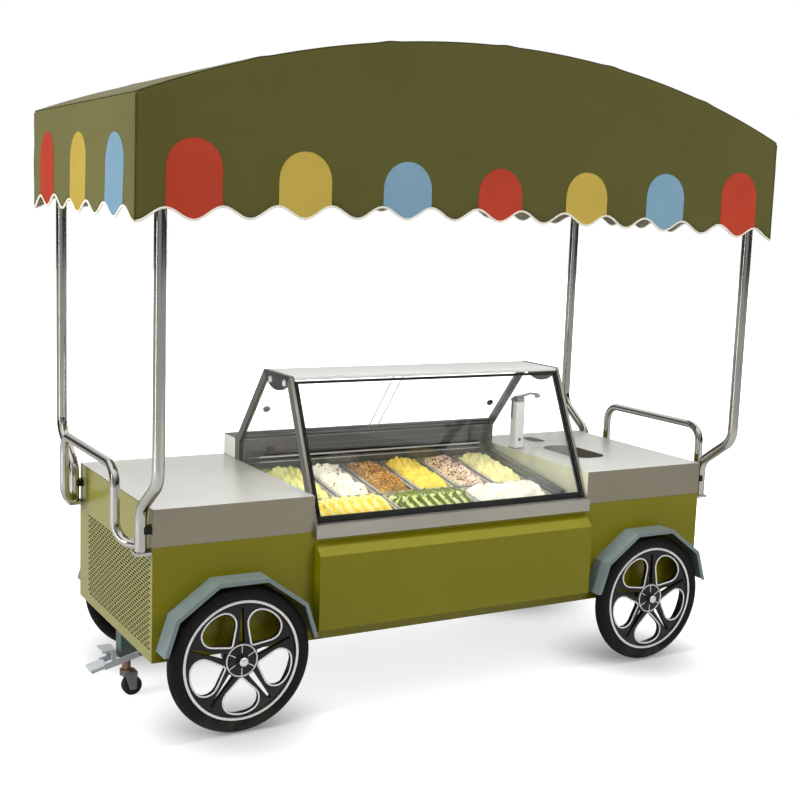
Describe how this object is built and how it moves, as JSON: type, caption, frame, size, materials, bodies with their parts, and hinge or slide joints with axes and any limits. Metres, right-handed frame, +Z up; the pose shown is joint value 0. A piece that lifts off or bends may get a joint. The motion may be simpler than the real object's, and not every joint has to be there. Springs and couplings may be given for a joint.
{
  "type": "ice cream push cart",
  "caption": "Push cart with a tilted glass gelato display, pans, sink and tap, spoked wheels, jack caster, push handles and a scalloped arched canopy on bent posts.",
  "frame": {"origin": "on the ground under the middle of the canopy", "axes": "+X along the cart towards the sink, -Y to the customers, +Z up"},
  "size_m": [2.652, 1.204, 2.3768],
  "materials": {
    "body_paint": "gloss",
    "counter_steel": "satin",
    "bright_tube": "polished",
    "frame_paint": "satin",
    "chassis_paint": "satin",
    "fender_paint": "satin",
    "pedal_paint": "satin",
    "fork_steel": "satin",
    "stem_brass": "satin",
    "caster_rubber": "matte",
    "tyre_rubber": "matte",
    "wheel_alloy": "satin black",
    "clear_glass": "clear",
    "tap_white": "gloss",
    "tap_metal": "polished",
    "well_plastic": "matte",
    "canopy_alloy": "satin",
    "canopy_cloth": "woven",
    "machine_alloy": "satin",
    "tank_plastic": "matte",
    "ice_cream": "soft"
  },
  "bodies": {
    "cart": {"chassis_frame": "chassis_paint", "axles": "bright_tube", "fenders": "fender_paint", "caster_tube": "chassis_paint", "floor_pan": "chassis_paint", "front_panels": "body_paint", "front_bulge_panel": "body_paint", "end_panel_left": "body_paint", "end_panel_right": "body_paint", "rear_panel": "body_paint", "door_hinge_pins": "bright_tube", "counter_left": "counter_steel", "counter_right": "counter_steel", "sink_basins": "counter_steel", "tap_column": "tap_white", "tap_spout": "tap_metal", "cold_well": "well_plastic", "pan_deck": "counter_steel", "rear_duct": "frame_paint", "side_frames": "frame_paint", "front_glass": "clear_glass", "side_glass": "clear_glass", "top_shelf": "counter_steel", "front_trim": "counter_steel", "pane_tracks": "frame_paint", "canopy_posts": "bright_tube", "post_brackets": "bright_tube", "push_handles": "bright_tube", "canopy_frame": "canopy_alloy", "canopy": "canopy_cloth", "condensing_unit": "machine_alloy", "water_tanks": "tank_plastic"},
    "wheel_front_left": {"tyre_front_left": "tyre_rubber", "wheel_front_left": "wheel_alloy"},
    "wheel_front_right": {"tyre_front_right": "tyre_rubber", "wheel_front_right": "wheel_alloy"},
    "wheel_rear_left": {"tyre_rear_left": "tyre_rubber", "wheel_rear_left": "wheel_alloy"},
    "wheel_rear_right": {"tyre_rear_right": "tyre_rubber", "wheel_rear_right": "wheel_alloy"},
    "caster_stem": {"caster_stem": "stem_brass"},
    "caster_pedal": {"caster_pedal": "pedal_paint"},
    "caster_fork": {"caster_fork": "fork_steel"},
    "caster_wheel": {"caster_wheel": "caster_rubber"},
    "rear_door_left": {"rear_door_left": "body_paint"},
    "rear_door_right": {"rear_door_right": "body_paint"},
    "tap_lever": {"tap_lever": "tap_metal"},
    "rear_pane_left": {"rear_pane_left": "clear_glass"},
    "rear_pane_right": {"rear_pane_right": "clear_glass"},
    "condenser_fan": {"condenser_fan": "machine_alloy"},
    "pan_rear_1": {"pan_rear_1": "ice_cream"},
    "pan_rear_2": {"pan_rear_2": "ice_cream"},
    "pan_rear_3": {"pan_rear_3": "ice_cream"},
    "pan_rear_4": {"pan_rear_4": "ice_cream"},
    "pan_rear_5": {"pan_rear_5": "ice_cream"},
    "pan_rear_6": {"pan_rear_6": "ice_cream"},
    "pan_front_1": {"pan_front_1": "ice_cream"},
    "pan_front_2": {"pan_front_2": "ice_cream"},
    "pan_front_3": {"pan_front_3": "ice_cream"}
  },
  "joints": [
    {"name": "wheel_front_left_spin", "type": "hinge", "parent": "cart", "child": "wheel_front_left", "pos_m": [-0.905, 0, 0.26], "axis": [0, 1, 0], "continuous": true},
    {"name": "wheel_front_right_spin", "type": "hinge", "parent": "cart", "child": "wheel_front_right", "pos_m": [0.905, 0, 0.26], "axis": [0, 1, 0], "continuous": true},
    {"name": "wheel_rear_left_spin", "type": "hinge", "parent": "cart", "child": "wheel_rear_left", "pos_m": [-0.905, 0, 0.26], "axis": [0, 1, 0], "continuous": true},
    {"name": "wheel_rear_right_spin", "type": "hinge", "parent": "cart", "child": "wheel_rear_right", "pos_m": [0.905, 0, 0.26], "axis": [0, 1, 0], "continuous": true},
    {"name": "caster_lift", "type": "slide", "parent": "cart", "child": "caster_stem", "axis": [0, 0, 1], "range_m": [0, 0.04]},
    {"name": "caster_pedal_tilt", "type": "hinge", "parent": "cart", "child": "caster_pedal", "pos_m": [-1.108, 0, 0.165], "axis": [0, 1, 0], "range_deg": [0, 20.2]},
    {"name": "caster_swivel", "type": "hinge", "parent": "caster_stem", "child": "caster_fork", "pos_m": [-1.15, 0, 0.085], "axis": [0, 0, 1], "continuous": true},
    {"name": "caster_wheel_spin", "type": "hinge", "parent": "caster_fork", "child": "caster_wheel", "pos_m": [-1.13, 0, 0.036], "axis": [0, 1, 0], "continuous": true},
    {"name": "rear_door_left_swing", "type": "hinge", "parent": "cart", "child": "rear_door_left", "pos_m": [-0.581, 0.4335, 0.485], "axis": [0, 0, 1], "range_deg": [0, 100]},
    {"name": "rear_door_right_swing", "type": "hinge", "parent": "cart", "child": "rear_door_right", "pos_m": [0.581, 0.4335, 0.485], "axis": [0, 0, -1], "range_deg": [0, 100]},
    {"name": "rear_pane_left_slide", "type": "slide", "parent": "cart", "child": "rear_pane_left", "axis": [1, 0, 0], "range_m": [0, 0.56]},
    {"name": "rear_pane_right_slide", "type": "slide", "parent": "cart", "child": "rear_pane_right", "axis": [-1, 0, 0], "range_m": [0, 0.56]},
    {"name": "tap_lever_turn", "type": "hinge", "parent": "cart", "child": "tap_lever", "pos_m": [0.612, 0.132, 1.009], "axis": [1, 0, 0], "range_deg": [0, 60]},
    {"name": "condenser_fan_spin", "type": "hinge", "parent": "cart", "child": "condenser_fan", "pos_m": [-1.087, 0, 0.468], "axis": [1, 0, 0], "continuous": true},
    {"name": "pan_rear_1_lift", "type": "slide", "parent": "cart", "child": "pan_rear_1", "axis": [0, -0.1478, 0.989], "range_m": [0, 0.15]},
    {"name": "pan_rear_2_lift", "type": "slide", "parent": "cart", "child": "pan_rear_2", "axis": [0, -0.1478, 0.989], "range_m": [0, 0.15]},
    {"name": "pan_rear_3_lift", "type": "slide", "parent": "cart", "child": "pan_rear_3", "axis": [0, -0.1478, 0.989], "range_m": [0, 0.15]},
    {"name": "pan_rear_4_lift", "type": "slide", "parent": "cart", "child": "pan_rear_4", "axis": [0, -0.1478, 0.989], "range_m": [0, 0.15]},
    {"name": "pan_rear_5_lift", "type": "slide", "parent": "cart", "child": "pan_rear_5", "axis": [0, -0.1478, 0.989], "range_m": [0, 0.15]},
    {"name": "pan_rear_6_lift", "type": "slide", "parent": "cart", "child": "pan_rear_6", "axis": [0, -0.1478, 0.989], "range_m": [0, 0.15]},
    {"name": "pan_front_1_lift", "type": "slide", "parent": "cart", "child": "pan_front_1", "axis": [0, -0.1478, 0.989], "range_m": [0, 0.15]},
    {"name": "pan_front_2_lift", "type": "slide", "parent": "cart", "child": "pan_front_2", "axis": [0, -0.1478, 0.989], "range_m": [0, 0.15]},
    {"name": "pan_front_3_lift", "type": "slide", "parent": "cart", "child": "pan_front_3", "axis": [0, -0.1478, 0.989], "range_m": [0, 0.15]}
  ],
  "couplings": [
    {"joint": "caster_pedal_tilt", "follows": "caster_lift", "rad_per_m": 8.7266}
  ]
}
